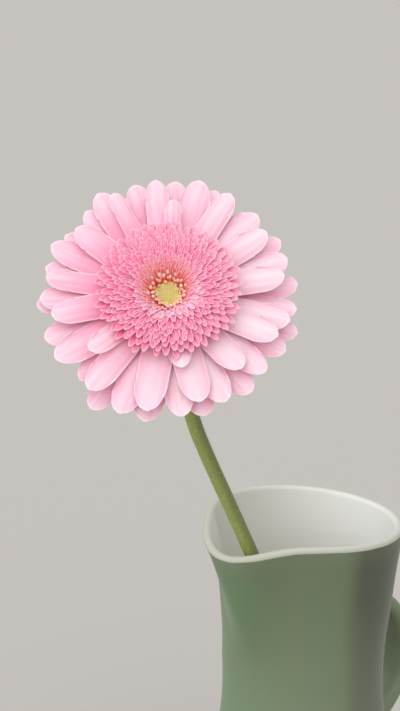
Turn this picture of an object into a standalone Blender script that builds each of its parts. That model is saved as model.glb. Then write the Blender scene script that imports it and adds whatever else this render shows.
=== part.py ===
"""Gerbera in a milk jug: one cut gerbera leaning in the spout of a glazed earthenware jug.

The origin is the centre of the jug's flat base, +Z is up, the spout points to -X and the
handle to +X.  All lengths are metres.
"""
import math

import bmesh
import bpy
from mathutils import Vector

MM = 0.001
NAME = "gerbera_in_vase"

# Driving dimensions of the jug
JUG_HEIGHT = 150 * MM
WALL = 3.4 * MM
RIM_ROUND = 1.1 * MM
JUG_STEPS = 40
# The wall's (radius, height) keys in mm, from the rim down to the foot, then the base
JUG_KEYS = [(40.0, 150), (39.0, 141), (37.4, 129), (35.5, 112), (33.8, 98), (33.1, 84),
            (33.6, 70), (35.8, 52), (37.6, 34), (35.6, 12)]
BASE_KEYS = [(31.0, 0), (16.0, 0), (0, 0)]
SPOUT_REACH = 14.5 * MM
SPOUT_START = 92 * MM
SPOUT_HALF_ANGLE = math.radians(9.5)
SPOUT_SPREAD = math.radians(7)
SPOUT_DIP = 4.5 * MM
SPOUT_GATHER = 0.45
HOLLOW_DEPTH = 2.0 * MM
HOLLOW_ANGLE = math.radians(55)
HOLLOW_HALF_ANGLE = math.radians(22)
HOLLOW_SPAN = 62 * MM
RIM_SLOPE = 0.063
RIM_RISES_TOWARDS = math.radians(130)
# The handle's centre line in the XZ plane, in mm, from its upper root to its lower root
HANDLE_KEYS = [(32.2, 106), (43, 107), (54, 101.5), (63, 90), (66.5, 76), (63.5, 62),
               (54, 52.5), (43, 47.5), (34.2, 46.5)]
HANDLE_THICKNESS = 8.5 * MM
HANDLE_WIDTH = 17 * MM

# Driving dimensions of the stem, from the foot in the jug to the neck under the head
STEM_KEYS = [(22.0, -14.2, 5.9), (-2.6, -11.2, 62), (-27.3, -7.3, 118.5), (-40.9, -4.5, 146.7),
             (-53.7, -2.9, 170.9), (-65.7, -2.1, 192.5), (-72.1, -1.6, 206.1),
             (-78.1, -0.5, 225.3), (-81.9, 1.3, 239.7), (-86.2, -2.0, 247.3)]
STEM_FOOT_RADIUS = 2.9 * MM
STEM_NECK_RADIUS = 2.6 * MM

# The head has its own frame: local Z is the flower's axis, angles run round it from local X
HEAD_ORIGIN = Vector((-94.6, -9.3, 255.4)) * MM
HEAD_TILT = math.radians(53.6)
HEAD_TURN = math.radians(-49.05)

SHEET = 0.6 * MM
CLAW_WIDTH = 1.3 * MM
WELD = 0.02 * MM

# Each tier: midrib keys (radius, height) in mm from the claw outwards, the tip's height, then
# (angle in degrees, reach, width) for each ray floret, and for one that lies under its
# neighbours how far it is dropped
TIERS = {
    "inner": {
        "midrib": [(8.9, 1.9), (14, 4.75), (20, 6.2), (28, 6.9)],
        "tip": 6.6,
        "florets": [(87, 36.5, 6.0), (117, 43.4, 6.3), (220, 35.3, 8.0), (279, 29.1, 8.0)],
    },
    "front": {
        "midrib": [(9.4, 0.6), (14, 3.2), (20, 4.6), (28, 4.9)],
        "tip": 3.5,
        "florets": [(10, 42, 9.8), (34, 43, 9.8), (60.5, 46, 8.8), (96, 46.2, 8.6),
                    (142, 42, 10.0), (172, 43.6, 8.2), (190.5, 41.5, 9.6), (232.5, 45, 10.2),
                    (260.5, 44.4, 11.4), (285.5, 41.8, 11.0), (312, 38, 10.4), (337, 41.5, 10.0)],
    },
    "mid": {
        "midrib": [(10.0, -0.7), (14, 1.5), (20, 2.7), (28, 2.9)],
        "tip": 1.2,
        "florets": [(19, 45.2, 10.0), (44.5, 46, 10.0), (75.5, 48.2, 11.0), (122, 48.6, 10.6),
                    (154.5, 46.5, 9.8), (181, 45.2, 10.0), (211.5, 45.6, 11.6), (248.5, 46.8, 10.4),
                    (275.5, 45.2, 10.4), (296.5, 44.2, 10.4), (319.5, 44.2, 10.4),
                    (347, 43.8, 10.2)],
    },
    "back": {
        "midrib": [(10.6, -2.0), (14, -0.3), (20, 0.7), (28, 0.9)],
        "tip": -1.2,
        "florets": [(8, 46.8, 10.0, 1.4), (29, 46.8, 9.8), (49, 45.5, 9.6), (67, 47.4, 9.8),
                    (86, 47.6, 9.8), (105, 48, 10.0), (130, 46.4, 9.4), (145, 45.5, 9.2, 1.6),
                    (164, 45.6, 9.4), (183, 46.4, 9.4), (199, 45.6, 9.6), (225, 43.0, 9.2),
                    (237, 48.6, 9.0, 1.6), (260, 46.6, 11.2), (286, 45.4, 10.8),
                    (308, 45.4, 10.2), (334, 45.6, 9.4), (344.5, 47.2, 9.0, 1.6),
                    (355, 45.6, 9.0)],
    },
}
# A ray floret's grid, and its shape along its length, as shares of that length
FLORET_LENGTH_STEPS = 7
FLORET_WIDTH_STEPS = 3
ROW_CROWDING = 1.15
WIDEST_AT = 0.76
TIP_BLUNTNESS = 0.93
DROP_FULL_AT = 0.35
EDGE_DROOP = 0.7 * MM

# Each whorl of short florets or bracts: section keys (radius, height) in mm, and its teeth.
# Between two teeth the edge is cut back by the notch's share of the outermost row
TRANS_WHORLS = {
    "trans_florets_outer": ([(8.5, 3.1), (13.6, 6.5), (20, 8.1), (27, 8.8)], 22),
    "trans_florets_middle": ([(7.4, 3.4), (11.5, 7.4), (17.5, 9.5), (24, 10.2)], 22),
    "trans_florets_inner": ([(6.35, 3.5), (8.8, 7.3), (13, 9.9), (18.5, 11.1)], 20),
    "trans_florets_centre": ([(5.35, 3.5), (6.7, 6.9), (9.1, 9.6), (12.8, 11.1)], 18),
}
DISC_WHORL = ([(4.4, 3.5), (5.0, 5.9), (6.2, 8.4), (7.7, 10.2)], 16)
BRACT_WHORLS = {
    "bracts_inner": ([(5.6, -12.2), (9.5, -8.6), (11.4, -5.4), (12.3, -3.6)], 16),
    "bracts_outer": ([(5.3, -13.9), (9.4, -10.3), (12.0, -7.4)], 14),
}
NOTCH_DEPTH = 0.56
RECEPTACLE_SECTION = [(0, 2.8), (5.5, 2.7), (8.0, 1.8), (9.2, -0.4), (10.2, -3.4), (9.6, -6.0),
                      (7.0, -9.9), (3.2, -12.7), (0, -12.9)]
TURNED_STEPS = 20
BUD_RADIUS = 3.75 * MM
BUD_BASE = 3.2 * MM
BUD_RISE = 2.2 * MM
BUD_ROWS = 4

SAGE = (0.17, 0.21, 0.12)
STEM_GREEN = (0.22, 0.25, 0.07)
BRACT_GREEN = (0.20, 0.27, 0.10)
RAY_PINK = (0.95, 0.58, 0.70)
TRANS_PINK = (0.92, 0.32, 0.47)
DISC_ORANGE = (0.85, 0.22, 0.12)
BUD_YELLOW = (0.60, 0.62, 0.18)


def clear_scene():
    for item in list(bpy.data.objects):
        bpy.data.objects.remove(item, do_unlink=True)


def new_collection(name):
    collection = bpy.data.collections.new(name)
    bpy.context.scene.collection.children.link(collection)
    return collection


def principled(name, color, roughness):
    material = bpy.data.materials.new(name)
    material.use_nodes = True
    shader = material.node_tree.nodes["Principled BSDF"]
    shader.inputs["Base Color"].default_value = (*color, 1)
    shader.inputs["Roughness"].default_value = roughness
    shader.inputs["Metallic"].default_value = 0
    return material


def sage_glaze():
    return principled("sage_glaze", SAGE, 0.35)


def stem_green():
    return principled("stem_green", STEM_GREEN, 0.55)


def bract_green():
    return principled("bract_green", BRACT_GREEN, 0.6)


def ray_pink():
    return principled("ray_pink", RAY_PINK, 0.6)


def trans_pink():
    return principled("trans_pink", TRANS_PINK, 0.6)


def disc_orange():
    return principled("disc_orange", DISC_ORANGE, 0.6)


def bud_yellow():
    return principled("bud_yellow", BUD_YELLOW, 0.7)


def smooth_through(keys, spans):
    """Points of a Catmull-Rom curve through the keys, with so many spans between two keys."""
    keys = [Vector(key) for key in keys]
    first = 2 * keys[0] - keys[1]
    last = 2 * keys[-1] - keys[-2]
    run = [first, *keys, last]
    points = []
    for before, start, end, after in zip(run, run[1:], run[2:], run[3:]):
        for step in range(spans):
            t = step / spans
            bend = 2 * before - 5 * start + 4 * end - after
            twist = 3 * (start - end) + after - before
            points.append(0.5 * (2 * start + (end - before) * t + bend * t**2 + twist * t**3))
    return points + [keys[-1]]


def smoothstep(value):
    value = min(max(value, 0), 1)
    return value * value * (3 - 2 * value)


def add_object(name, data, collection, material=None):
    item = bpy.data.objects.new(name, data)
    collection.objects.link(item)
    if material:
        data.materials.append(material)
    return item


def screw_mesh(name, section, steps):
    """Mesh of a section of (radius, height) turned about Z, run down its outer side."""
    data = bpy.data.meshes.new(name)
    edges = [(i, i + 1) for i in range(len(section) - 1)]
    data.from_pydata([(radius, 0, height) for radius, height in section], edges, [])
    item = bpy.data.objects.new(name + "_section", data)
    bpy.context.scene.collection.objects.link(item)
    screw = item.modifiers.new("Turn", "SCREW")
    screw.steps = screw.render_steps = steps
    screw.use_merge_vertices = True
    screw.merge_threshold = WELD
    mesh = evaluated_mesh(item)
    bpy.data.objects.remove(item)
    join_seam(mesh)
    return mesh


def evaluated_mesh(item):
    depsgraph = bpy.context.evaluated_depsgraph_get()
    depsgraph.update()
    return bpy.data.meshes.new_from_object(item.evaluated_get(depsgraph))


def join_seam(mesh):
    """Weld the points that meet where a turn closes or a cap lies."""
    shape = bmesh.new()
    shape.from_mesh(mesh)
    bmesh.ops.remove_doubles(shape, verts=shape.verts, dist=WELD)
    shape.to_mesh(mesh)
    shape.free()


def shade_round(mesh, degrees=40):
    mesh.shade_smooth()
    mesh.set_sharp_from_angle(angle=math.radians(degrees))


def add_solidify(item, thickness, offset):
    solidify = item.modifiers.new("Thickness", "SOLIDIFY")
    solidify.thickness = thickness
    solidify.offset = offset
    solidify.use_even_offset = True


def bell(angle, half_angle):
    """A bell curve: 1 at no angle, one half at the half angle."""
    return math.exp(-((angle / half_angle) ** 2) * math.log(2))


def spout_share(angle, height):
    """How far the spout is drawn out, 0 to 1, at an angle from -X and a height."""
    rise = max((height - SPOUT_START) / (JUG_HEIGHT - SPOUT_START), 0)
    return bell(angle, SPOUT_HALF_ANGLE + SPOUT_SPREAD * rise**6) * smoothstep(rise)


def hollow_share(angle, height):
    """How far the wall is pressed in, 0 to 1, on the two flanks of the spout."""
    turn = math.pi * min(max((height - SPOUT_START) / HOLLOW_SPAN, 0), 1)
    return bell(abs(angle) - HOLLOW_ANGLE, HOLLOW_HALF_ANGLE) * math.sin(turn)


def pull_spout(mesh):
    """Gather the wall's columns towards -X, then draw the wall out there into the spout."""
    for vertex in mesh.vertices:
        x, y, z = vertex.co
        radius = math.hypot(x, y)
        if radius < WALL:
            continue
        angle = math.atan2(-y, -x)
        angle *= 1 - SPOUT_GATHER * math.exp(-(angle**2))
        share = spout_share(angle, z)
        radius += SPOUT_REACH * share - HOLLOW_DEPTH * hollow_share(angle, z)
        x, y = -radius * math.cos(angle), -radius * math.sin(angle)
        rise = x * math.cos(RIM_RISES_TOWARDS) + y * math.sin(RIM_RISES_TOWARDS)
        rise *= RIM_SLOPE * smoothstep((z - SPOUT_START) / (JUG_HEIGHT - SPOUT_START))
        vertex.co = (x, y, z + rise - SPOUT_DIP * share)


def build_handle(cutters):
    """The ear handle as a flattened tube, whose ends are buried in the wall."""
    curve = bpy.data.curves.new("handle_path", "CURVE")
    curve.dimensions = "3D"
    curve.bevel_depth = HANDLE_THICKNESS / 2
    curve.bevel_resolution = 2
    curve.use_fill_caps = True
    points = smooth_through(HANDLE_KEYS, 2)
    spline = curve.splines.new("POLY")
    spline.points.add(len(points) - 1)
    for point, (x, z) in zip(spline.points, points):
        point.co = (x * MM, 0, z * MM, 1)
    path = add_object("handle_path", curve, cutters)
    path.scale.y = HANDLE_WIDTH / HANDLE_THICKNESS
    bpy.context.view_layer.update()
    mesh = evaluated_mesh(path)
    mesh.transform(path.matrix_world)
    join_seam(mesh)
    bpy.data.objects.remove(path)
    handle = add_object("handle_solid", mesh, cutters)
    handle.hide_render = True
    handle.display_type = "WIRE"
    return handle


def build_jug(parts, cutters):
    points = smooth_through(JUG_KEYS, 2) + BASE_KEYS
    section = [(radius * MM, height * MM) for radius, height in points]
    mesh = screw_mesh("jug", section, JUG_STEPS)
    pull_spout(mesh)
    shade_round(mesh)
    jug = add_object("jug", mesh, parts, sage_glaze())
    add_solidify(jug, WALL, -1)
    bevel = jug.modifiers.new("Rim", "BEVEL")
    bevel.width = RIM_ROUND
    bevel.segments = 2
    bevel.limit_method = "ANGLE"
    bevel.angle_limit = math.radians(50)
    union = jug.modifiers.new("Handle", "BOOLEAN")
    union.operation = "UNION"
    union.object = build_handle(cutters)


def build_stem(parts):
    points = smooth_through(STEM_KEYS, 3)
    curve = bpy.data.curves.new("stem", "CURVE")
    curve.dimensions = "3D"
    curve.bevel_depth = STEM_FOOT_RADIUS
    curve.bevel_resolution = 3
    curve.use_fill_caps = True
    spline = curve.splines.new("POLY")
    spline.points.add(len(points) - 1)
    taper = STEM_NECK_RADIUS / STEM_FOOT_RADIUS
    for index, (point, place) in enumerate(zip(spline.points, points)):
        point.co = (*(place * MM), 1)
        point.radius = 1 + (taper - 1) * index / (len(points) - 1)
    add_object("stem", curve, parts, stem_green())


def build_head_frame(parts):
    frame = bpy.data.objects.new("flower_head", None)
    parts.objects.link(frame)
    frame.location = HEAD_ORIGIN
    frame.rotation_euler = (HEAD_TILT, 0, HEAD_TURN)
    return frame


def add_turned(name, section, parts, head, material):
    """A closed solid of revolution about the head's axis."""
    mesh = screw_mesh(name, section, TURNED_STEPS)
    shade_round(mesh)
    item = add_object(name, mesh, parts, material)
    item.parent = head


def build_receptacle(parts, head, green):
    section = [(radius * MM, height * MM) for radius, height in RECEPTACLE_SECTION]
    add_turned("receptacle", section, parts, head, green)


def build_bud_disc(parts, head):
    """A dome of closed buds on a flat base, its section a quarter of an ellipse."""
    turns = [math.pi / 2 * row / BUD_ROWS for row in range(BUD_ROWS + 1)]
    dome = [(BUD_RADIUS * math.sin(turn), BUD_BASE + BUD_RISE * math.cos(turn)) for turn in turns]
    section = dome + [(0, BUD_BASE)]
    add_turned("bud_disc", section, parts, head, bud_yellow())


def add_whorl(name, keys, teeth, parts, head, material):
    """One toothed ring of florets or bracts that stand side by side."""
    section = [(radius * MM, height * MM) for radius, height in reversed(keys)]
    steps = 2 * teeth
    mesh = screw_mesh(name, section, steps)
    tip = Vector(section[0])
    notch = tip.lerp(Vector(section[1]), NOTCH_DEPTH)
    for vertex in mesh.vertices:
        x, y, z = vertex.co
        radius = math.hypot(x, y)
        column = round(math.atan2(y, x) / (2 * math.pi) * steps)
        if column % 2 and radius > tip.x - WELD:
            vertex.co = (x * notch.x / radius, y * notch.x / radius, notch.y)
    shade_round(mesh)
    item = add_object(name, mesh, parts, material)
    item.parent = head
    add_solidify(item, SHEET, 0)


def floret_half_width(share, width):
    """Half the width of a ray floret at a share of its length: a claw, a strap, a round tip."""
    strap = smoothstep(share / WIDEST_AT)
    half = CLAW_WIDTH / 2 + (width - CLAW_WIDTH) / 2 * strap
    past = max(share - WIDEST_AT, 0) / (1 - WIDEST_AT)
    return half * math.sqrt(1 - TIP_BLUNTNESS * past**2)


def height_on(midrib, radius):
    """Height of the midrib at a radius, read between its points."""
    for start, end in zip(midrib, midrib[1:]):
        if radius <= end.x:
            break
    share = (radius - start.x) / (end.x - start.x)
    return start.y + (end.y - start.y) * share


def add_floret(name, tier, floret, parts, head, material):
    """One ray floret: a flat grid bent along its midrib and drooping to its two edges."""
    angle, reach, width, *dropped = floret
    drop = sum(dropped) * MM
    keys = [*tier["midrib"], (reach, tier["tip"])]
    midrib = [point * MM for point in smooth_through(keys, 4)]
    claw, tip = midrib[0].x, midrib[-1].x
    shape = bmesh.new()
    bmesh.ops.create_grid(shape, x_segments=FLORET_LENGTH_STEPS, y_segments=FLORET_WIDTH_STEPS,
                          size=1)
    for vertex in shape.verts:
        along = (vertex.co.x + 1) / 2
        across = vertex.co.y
        share = math.sin(along * math.pi / 2) ** ROW_CROWDING
        radius = claw + (tip - claw) * share
        droop = EDGE_DROOP * smoothstep(share / WIDEST_AT) * across**2
        side = floret_half_width(share, width * MM) * across
        height = height_on(midrib, radius) - droop - drop * smoothstep(share / DROP_FULL_AT)
        vertex.co = (radius, side, height)
    mesh = bpy.data.meshes.new(name)
    shape.to_mesh(mesh)
    shape.free()
    shade_round(mesh)
    item = add_object(name, mesh, parts, material)
    item.parent = head
    item.rotation_euler.z = math.radians(angle)
    add_solidify(item, SHEET, 0)


def build_ray_florets(parts, head):
    material = ray_pink()
    for tier_name, tier in TIERS.items():
        for number, floret in enumerate(tier["florets"], 1):
            name = f"ray_floret_{tier_name}_{number:02d}"
            add_floret(name, tier, floret, parts, head, material)


def build_whorls(parts, head, green):
    pink = trans_pink()
    for name, (keys, teeth) in TRANS_WHORLS.items():
        add_whorl(name, keys, teeth, parts, head, pink)
    add_whorl("disc_florets", *DISC_WHORL, parts, head, disc_orange())
    for name, (keys, teeth) in BRACT_WHORLS.items():
        add_whorl(name, keys, teeth, parts, head, green)


def main():
    clear_scene()
    parts = new_collection(NAME)
    cutters = new_collection(NAME + "_cutters")
    build_jug(parts, cutters)
    build_stem(parts)
    head = build_head_frame(parts)
    green = bract_green()
    build_receptacle(parts, head, green)
    build_whorls(parts, head, green)
    build_bud_disc(parts, head)
    build_ray_florets(parts, head)


main()
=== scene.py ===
"""A cut gerbera leaning in the spout of a sage-glazed milk jug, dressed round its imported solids.

The jug stands on the origin, +Z is up, its spout points to -X and its handle to +X.  Each piece
is a surface worked out with numpy in the part's own frame, in metres.
"""
import math

import bmesh
import bpy
import numpy as np
from mathutils import Matrix, Vector


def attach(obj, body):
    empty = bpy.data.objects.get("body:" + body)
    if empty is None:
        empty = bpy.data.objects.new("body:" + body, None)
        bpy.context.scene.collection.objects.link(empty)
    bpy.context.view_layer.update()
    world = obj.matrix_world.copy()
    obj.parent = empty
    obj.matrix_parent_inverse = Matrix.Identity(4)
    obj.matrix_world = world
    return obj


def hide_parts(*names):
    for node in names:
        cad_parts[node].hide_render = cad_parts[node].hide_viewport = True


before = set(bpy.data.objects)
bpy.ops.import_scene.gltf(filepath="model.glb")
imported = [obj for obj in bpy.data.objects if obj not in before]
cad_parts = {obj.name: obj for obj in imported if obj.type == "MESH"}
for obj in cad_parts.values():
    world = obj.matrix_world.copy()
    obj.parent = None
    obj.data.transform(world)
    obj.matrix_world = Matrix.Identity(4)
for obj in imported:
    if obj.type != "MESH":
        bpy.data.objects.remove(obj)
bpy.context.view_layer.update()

bl_info = {
    "name": "Gerbera in a milk jug",
    "version": (1, 0, 0),
    "blender": (4, 5, 0),
    "location": "3D View > Sidebar > Gerbera",
    "description": "Builds a pink gerbera, its stalk and the glazed jug that it leans in",
    "category": "Add Mesh",
}

MM = 0.001

# Jug, in mm and radians.  Its keys are (radius, height): up the wall from the foot's bend to the
# rim, round the foot, and across the recess under it.
JUG_HEIGHT = 150.0
WALL = 3.4
LIP_HEIGHT = 1.5
FLOOR_CORNER = 4.0
INNER_WALL_START = 9.0
JUG_KEYS = [(35.6, 12), (37.6, 34), (35.8, 52), (33.6, 70), (33.1, 84), (33.8, 98),
            (35.5, 112), (37.4, 129), (39.0, 141), (40.0, 150)]
FOOT_KEYS = [(29.8, 0.0), (30.6, 0.15), (31.3, 0.8), (32.4, 3.4), (34.0, 7.6)]
RECESS_KEYS = [(0.0, 1.1), (9.0, 1.1), (18.0, 1.1), (25.2, 1.1), (26.0, 0.9), (26.6, 0.25),
               (27.2, 0.0), (28.4, 0.0)]
# The spout widens near the rim by a power of the rise, less on its -Y side, the front.
SPOUT_REACH = 13.0
SPOUT_START = 92.0
SPOUT_HALF_ANGLE = math.radians(14)
SPOUT_SPREAD = math.radians(11.5)
SPOUT_SPREAD_POWER = 12
SPOUT_FRONT_SPREAD = math.radians(6)
SPOUT_FRONT_SPREAD_POWER = 6
SPOUT_DIP = 5.1
SPOUT_GATHER = 0.45
HOLLOW_DEPTH = 2.0
HOLLOW_ANGLE = math.radians(55)
HOLLOW_HALF_ANGLE = math.radians(22)
HOLLOW_SPAN = 62.0
RIM_SLOPE = 0.0718
RIM_RISES_TOWARDS = math.radians(114)
HANDLE_KEYS = [(32.2, 102), (43, 102.8), (54, 98.2), (62.8, 88), (66.5, 75), (63.5, 61.5),
               (54, 52.3), (43, 47.5), (34.2, 46.5)]
HANDLE_THICKNESS = 8.5
HANDLE_WIDTH = 17.0
HANDLE_FILLET = 4.5
HANDLE_SQUARENESS = 2.4
# The depths below the lip that the glaze goes by on the handle and under the foot
HANDLE_DEPTH = 70.0
BASE_DEPTH = 200.0

# Stalk, in mm: points of its centre line from the foot up, the flank that is painted in shade,
# away from the key light, and the rows of the tube where hairs grow, from the jug's rim up to the
# flare of its neck
STEM_KEYS = [(22.0, -14.2, 5.9), (-2.6, -11.2, 62), (-27.3, -7.3, 118.5), (-40.9, -4.5, 146.7),
             (-53.7, -2.9, 170.9), (-65.7, -2.1, 192.5), (-72.1, -1.6, 206.1),
             (-78.1, -0.5, 225.3), (-81.9, 1.3, 239.7), (-86.2, -2.0, 247.3)]
STEM_FOOT_RADIUS = 2.9
STEM_NECK_RADIUS = 2.6
STEM_FLARE = 1.6
STEM_RIBS = 12
STEM_RIB_DEPTH = 0.022
STEM_TWIST = 4
STEM_ROWS = 190
STEM_SHADING_TOWARDS = np.array([0.64, -0.77, 0.0])
HAIR_ROWS = (70, 184)
HAIR_THICKNESS = 0.06

# Head: local Z is the flower's axis and angles run round it from local X
HEAD_ORIGIN = np.array([-94.6, -9.3, 255.4])
HEAD_TURN = (Matrix.Rotation(math.radians(-49.05), 3, "Z")
             @ Matrix.Rotation(math.radians(53.6), 3, "X"))

# Ray florets by layer: midrib keys (radius, height) in mm from the claw, the tip's height, then
# (angle in degrees, reach, width) for each, and its drop where it hangs below its layer
TIERS = {
    "inner": ([(8.9, 1.9), (14, 4.75), (20, 6.2), (28, 6.9)], 6.6, [
        (87, 36.5, 6.0), (117, 43.4, 6.3), (220, 35.3, 8.0), (279, 29.1, 8.0)]),
    "front": ([(9.4, 0.6), (14, 3.2), (20, 4.6), (28, 4.9)], 3.5, [
        (10, 42, 9.8), (34, 43, 9.8), (60.5, 46, 8.8), (96, 46.2, 8.6),
        (142, 42, 10.0), (172, 43.6, 8.2), (190.5, 41.5, 9.6), (232.5, 45, 10.2),
        (260.5, 44.4, 11.4), (285.5, 41.8, 11.0), (312, 38, 10.4),
        (337, 41.5, 10.0)]),
    "mid": ([(10.0, -0.7), (14, 1.5), (20, 2.7), (28, 2.9)], 1.2, [
        (19, 45.2, 10.0), (44.5, 46, 10.0), (75.5, 48.2, 11.0), (122, 48.6, 10.6),
        (154.5, 46.5, 9.8), (181, 45.2, 10.0), (211.5, 45.6, 11.6),
        (248.5, 46.8, 10.4), (275.5, 45.2, 10.4), (296.5, 44.2, 10.4),
        (319.5, 44.2, 10.4), (347, 43.8, 10.2)]),
    "back": ([(10.6, -2.0), (14, -0.3), (20, 0.7), (28, 0.9)], -1.2, [
        (8, 46.8, 10.0, 1.4), (29, 46.8, 9.8), (49, 45.5, 9.6), (67, 47.4, 9.8),
        (86, 47.6, 9.8), (105, 48, 10.0), (130, 46.4, 9.4), (145, 45.5, 9.2, 1.6),
        (164, 45.6, 9.4), (183, 46.4, 9.4), (199, 45.6, 9.6), (225, 43.0, 9.2),
        (237, 48.6, 9.0, 1.6), (260, 46.6, 11.2), (286, 45.4, 10.8),
        (308, 45.4, 10.2), (334, 45.6, 9.4), (344.5, 47.2, 9.0, 1.6),
        (355, 45.6, 9.0)]),
}
CLAW_WIDTH = 1.3
EDGE_DROOP = 1.25
CLAW_CHANNEL = 1.1
GROOVE_DEPTH = 0.28
NOTCH_DEPTH = 0.35
EDGE_LIFT = 0.2
WAVE_HEIGHT = 0.18
TIP_RISE = 2.2
# where the painted light that pales the long petals is strongest, as an angle round the head
LIT_RAYS_TOWARDS = math.radians(340)

# Trans florets: their widths, how far their tips are pointed, and the (radius, height) keys of
# their paths, in mm at five radii of the tip, and where along the paths the rows lie.  The inner
# ones are warmest on one side of the head, and their tips are paler, with painted light strongest
# on a second side; the outer ones are paler, with painted light strongest on a third.
TRANS_TIPS = [8.4, 12.8, 18.5, 24.0, 27.0]
TRANS_WIDTHS = [1.5, 1.8, 2.2, 2.7, 3.0]
TRANS_POINTS = [1.0, 1.4, 2.3, 3.4, 4.2]
TRANS_PATHS = [[(5.6, 3.5), (6.1, 6.2), (7.0, 8.4), (8.4, 10.0)],
               [(5.35, 3.5), (6.7, 6.9), (9.1, 9.6), (12.8, 11.1)],
               [(6.35, 3.5), (8.8, 7.3), (13.0, 9.9), (18.5, 11.1)],
               [(7.4, 3.4), (11.5, 7.4), (17.5, 9.5), (24.0, 10.2)],
               [(8.5, 3.1), (13.6, 6.5), (20.0, 8.1), (27.0, 8.8)]]
TRANS_RINGS = {"centre": (0, 12.8), "inner": (12.8, 18.5), "middle": (18.5, 23.6),
               "outer": (23.6, 99)}
TRANS_ROWS = np.array([0.0, 1.0, 1.7, 2.15, 2.45, 2.68, 2.84, 2.95, 3.0]) / 3
TRANS_THICKNESS = 0.22
WARMEST_TOWARDS = math.radians(120)
# where the painted light on the short petals is strongest, for the inner tips and for the brim
LIT_HEART_TOWARDS = math.radians(285)
LIT_BRIM_TOWARDS = math.radians(35)

# Disc, in mm: (radius, height) keys of the curve of the tubes' tips, and the profiles of a tube,
# as (share of the way up, radius), and of a bud, as (height, radius)
DISC_TIPS = [(4.9, 5.8), (5.7, 7.0), (6.5, 8.3), (7.7, 9.4)]
DISC_FOOT_RADIUS = 5.0
DISC_FOOT_HEIGHT = 3.3
TUBE_PROFILE = [(0.0, 0.0), (0.0, 0.6), (0.4, 0.68), (0.68, 0.5), (0.76, 0.58), (0.85, 0.68),
                (0.94, 0.6), (0.99, 0.32), (1.0, 0.0)]
BUD_PROFILE = [(-0.3, 0.0), (-0.3, 0.34), (0.1, 0.37), (0.3, 0.31), (0.44, 0.17), (0.48, 0.0)]
BUD_RADIUS = 4.65
BUD_BASE = 3.6
BUD_RISE = 1.3

# Bracts and receptacle, in mm: (radius, height) keys of the bracts' paths, with how many there
# are in a row and their width, and of the cushion's outline
BRACT_THICKNESS = 0.4
BRACT_ROWS = {
    "inner": ([(5.6, -12.2), (9.5, -8.6), (11.4, -5.4), (12.3, -3.6)], 21, 3.6),
    "outer": ([(5.3, -13.9), (8.0, -11.6), (10.2, -9.2), (12.0, -7.4)], 17, 3.8),
}
RECEPTACLE_KEYS = [(0.0, 2.8), (5.5, 2.7), (8.0, 1.8), (9.2, -0.4), (10.2, -3.4), (9.6, -6.0),
                   (7.0, -9.9), (3.2, -12.7), (0.0, -12.9)]
GOLDEN_ANGLE = math.pi * (3 - math.sqrt(5))

# Stage: the floor's radius in m, where the key light comes from and how wide it is, and the
# camera's place in mm, the way it looks, and its lens and sensor in mm
FLOOR_RADIUS = 30
KEY_FROM = (-0.65, -0.08, 0.755)
KEY_ANGLE = math.radians(110)
CAMERA_PLACE = (-612.20, -458.36, 397.03)
CAMERA_LOOK = (0.7455, 0.6255, -0.2300)
CAMERA_LENS = 100
CAMERA_SENSOR = 36


def linear(code):
    """sRGB hex to linear red, green and blue, and an alpha of 1."""
    parts = np.array([int(code[i:i + 2], 16) for i in (0, 2, 4)]) / 255
    curve = np.where(parts <= 0.04045, parts / 12.92, ((parts + 0.055) / 1.055) ** 2.4)
    return (*curve.tolist(), 1.0)


def smoothstep(value, low=0.0, high=1.0):
    share = np.clip((value - low) / (high - low), 0, 1)
    return share * share * (3 - 2 * share)


def smooth_through(keys, shares):
    """Catmull-Rom curve through the keys, read at shares of the way from first to last."""
    keys = np.asarray(keys, float)
    run = np.concatenate([2 * keys[:1] - keys[1:2], keys, 2 * keys[-1:] - keys[-2:-1]])
    places = shares * (len(keys) - 1)
    span = np.minimum(places.astype(int), len(keys) - 2)
    t = (places - span).reshape(-1, *[1] * (keys.ndim - 1))
    before, start, end, after = (run[span + k] for k in range(4))
    return 0.5 * (2 * start + (end - before) * t
                  + (2 * before - 5 * start + 4 * end - after) * t**2
                  + (3 * (start - end) + after - before) * t**3)


def full_turn(count):
    """Equal angles round a full turn."""
    return np.linspace(0, 2 * math.pi, count, endpoint=False)


def rings(side, other, turn):
    """A circle of vectors round each line, from the two directions across it."""
    return side[:, None] * np.cos(turn)[:, None] + other[:, None] * np.sin(turn)[:, None]


def unit(vectors):
    return vectors / np.linalg.norm(vectors, axis=-1, keepdims=True)


def grid_mesh(name, points, marks, wrap=False):
    """A mesh of equal grids.

    points is (copies, rows, columns, 3) in mm.  With wrap the last column joins the first.
    marks gives each named float attribute as an array that spreads over the grid.
    """
    copies, rows, columns = points.shape[:3]
    index = np.arange(copies * rows * columns).reshape(copies, rows, columns)
    if wrap:
        index = np.concatenate([index, index[:, :, :1]], axis=2)
    quads = np.stack([index[:, :-1, :-1], index[:, :-1, 1:], index[:, 1:, 1:], index[:, 1:, :-1]],
                     axis=-1).reshape(-1, 4)
    mesh = bpy.data.meshes.new(name)
    mesh.from_pydata((points * MM).reshape(-1, 3).tolist(), [], quads.tolist())
    for key, values in marks.items():
        layer = mesh.attributes.new(key, "FLOAT", "POINT")
        spread = np.broadcast_to(values, points.shape[:3]).astype(np.float32)
        layer.data.foreach_set("value", spread.ravel())
    return mesh


def linked(name, data):
    """A new object in the scene that shows the data."""
    made = bpy.data.objects.new(name, data)
    bpy.context.scene.collection.objects.link(made)
    return made


def add_piece(name, mesh, finish, nodes=()):
    """Show the mesh as a piece that rides on the root body and stands for the CAD nodes."""
    mesh.shade_smooth()
    mesh.materials.append(finish)
    piece = linked(name, mesh)
    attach(piece, "root")
    if nodes:
        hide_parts(*nodes)
    return piece


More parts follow.
